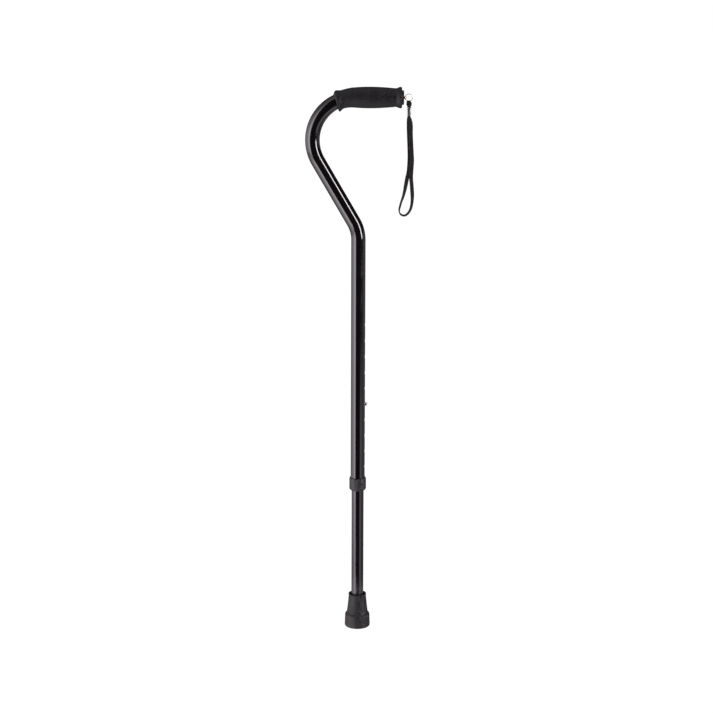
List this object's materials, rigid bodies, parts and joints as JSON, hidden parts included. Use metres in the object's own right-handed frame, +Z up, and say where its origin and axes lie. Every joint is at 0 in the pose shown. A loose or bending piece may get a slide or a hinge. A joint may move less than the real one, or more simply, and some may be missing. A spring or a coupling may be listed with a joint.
{
  "type": "walking cane",
  "caption": "Offset-handle walking cane with a bent tube, padded grip, telescoping leg with snap button and locking collar, round rubber tip and wrist strap.",
  "frame": {"origin": "on the floor under the centre of the rubber tip, on the shaft's axis", "axes": "+Z up the shaft, +X from the shaft toward the handle's free end and the wrist strap, +Y square to the handle's plane"},
  "size_m": [0.166, 0.0406, 0.8603],
  "materials": {
    "black_enamel": "gloss black powder coat",
    "leg_enamel": "satin brown-black",
    "black_nylon": "fine moulded grain",
    "natural_nylon": "plain moulded",
    "grip_rubber": "soft matte charcoal",
    "tip_rubber": "moulded matte dark grey",
    "brass": "polished",
    "chrome": "bright plated",
    "crimp_metal": "satin nickel plate",
    "button_steel": "satin",
    "spring_steel": "rolled strip",
    "plated_steel": "zinc plated",
    "strap_tape": "flat woven polyester tape"
  },
  "bodies": {
    "handle_frame": {"upper_tube": "black_enamel", "grip": "grip_rubber", "grip_end_plug": "black_nylon", "strap_stud": "brass", "collet_bushing": "natural_nylon"},
    "leg": {"lower_tube": "leg_enamel", "leg_top_bushing": "natural_nylon", "button_spring": "spring_steel", "ferrule": "tip_rubber", "ferrule_washer": "plated_steel"},
    "button": {"snap_button": "button_steel"},
    "collar": {"lock_collar": "black_nylon"},
    "ring": {"split_ring": "chrome"},
    "strap": {"strap_ring_loop": "strap_tape", "strap_crimp": "crimp_metal", "strap_wrist_loop": "strap_tape"}
  },
  "joints": [
    {"name": "height_slide", "type": "slide", "parent": "handle_frame", "child": "leg", "axis": [0, 0, -1], "range_m": [-0.127, 0.1016], "deforming": ["snap_button", "button_spring"]},
    {"name": "button_press", "type": "slide", "parent": "leg", "child": "button", "axis": [-1, 0, 0], "range_m": [0, 0.0051], "stiffness_N_per_m": 2500, "springref_m": -0.002, "deforming": ["button_spring"]},
    {"name": "collar_turn", "type": "hinge", "parent": "handle_frame", "child": "collar", "pos_m": [0, 0, 0.2388], "axis": [0, 0, -1], "range_deg": [0, 360]},
    {"name": "ring_swivel", "type": "hinge", "parent": "handle_frame", "child": "ring", "pos_m": [0.0695, 0, 0.8443], "axis": [0, 0, 1], "range_deg": [-60, 60]},
    {"name": "strap_swing", "type": "hinge", "parent": "ring", "child": "strap", "pos_m": [0.075, 0, 0.8443], "axis": [0, -1, 0], "range_deg": [-15, 100]}
  ]
}
